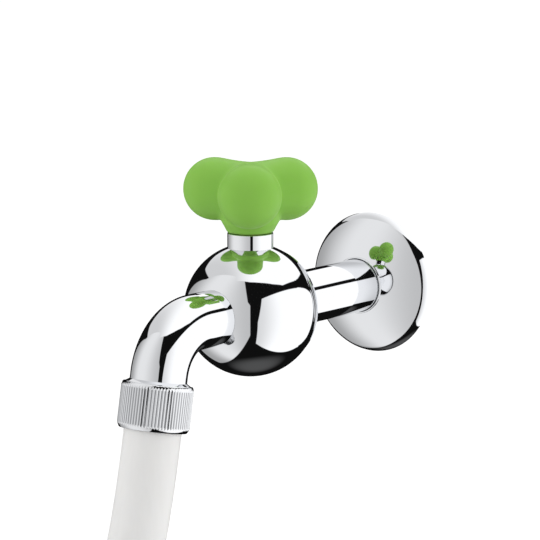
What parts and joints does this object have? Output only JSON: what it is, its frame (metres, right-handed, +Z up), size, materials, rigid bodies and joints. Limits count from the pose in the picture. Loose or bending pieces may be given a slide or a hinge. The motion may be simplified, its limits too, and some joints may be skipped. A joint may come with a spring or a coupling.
{
  "type": "hose bibb",
  "caption": "Wall-mounted hose bibb: hollow ball body, trefoil quarter-turn handle, elbow spout, and a knurled union nut that holds a short hanging hose.",
  "frame": {"origin": "on the inlet pipe's axis, in the plane of the wall that the flange stands on", "axes": "+Z up, +Y into the wall along the inlet pipe, +X to the right as seen from the room"},
  "size_m": [0.062, 0.252, 0.4878],
  "materials": {
    "chrome_plate": "mirror-polished chrome plate",
    "knurled_chrome": "chrome plate over a straight knurl",
    "plain_brass": "machined brass",
    "black_rubber": "moulded rubber",
    "disc_ceramic": "lapped ceramic",
    "white_plastic": "plain moulded",
    "spring_steel": "plain steel",
    "green_plastic": "satin, slightly translucent",
    "white_hose": "satin, translucent white"
  },
  "bodies": {
    "tap_body": {"wall_flange": "chrome_plate", "flange_seal": "black_rubber", "inlet_pipe": "plain_brass", "pipe_sleeve": "chrome_plate", "nose_seal": "black_rubber", "ball_body": "chrome_plate", "ball_rear_cap": "chrome_plate", "rear_cap_seal": "black_rubber", "neck_sleeve": "chrome_plate", "cartridge_body": "plain_brass", "seat_seal": "black_rubber", "fixed_disc": "disc_ceramic", "slide_washer": "white_plastic", "spout_elbow": "chrome_plate", "spout_seal": "black_rubber"},
    "handle": {"handle_grip": "green_plastic", "handle_insert": "plain_brass", "handle_grub_screw": "spring_steel", "spindle": "plain_brass", "spindle_seals": "black_rubber", "spindle_clip": "spring_steel", "turning_disc": "disc_ceramic"},
    "hose_end": {"hose_tail": "plain_brass", "hose_washer": "black_rubber", "hose_tube": "white_hose"},
    "union_nut": {"hose_nut": "knurled_chrome"}
  },
  "joints": [
    {"name": "handle_turn", "type": "hinge", "parent": "tap_body", "child": "handle", "pos_m": [0, -0.088, 0.05], "axis": [0, 0, 1], "range_deg": [0, 90]},
    {"name": "hose_end_slide", "type": "slide", "parent": "tap_body", "child": "hose_end", "axis": [0, -0.1891, -0.982], "range_m": [0, 0.00997]},
    {"name": "union_nut_turn", "type": "hinge", "parent": "hose_end", "child": "union_nut", "pos_m": [0, -0.15083, -0.03281], "axis": [0, -0.1891, -0.982], "range_deg": [0, 1980]}
  ],
  "couplings": [
    {"joint": "union_nut_turn", "follows": "hose_end_slide", "rad_per_m": 3463.7}
  ]
}
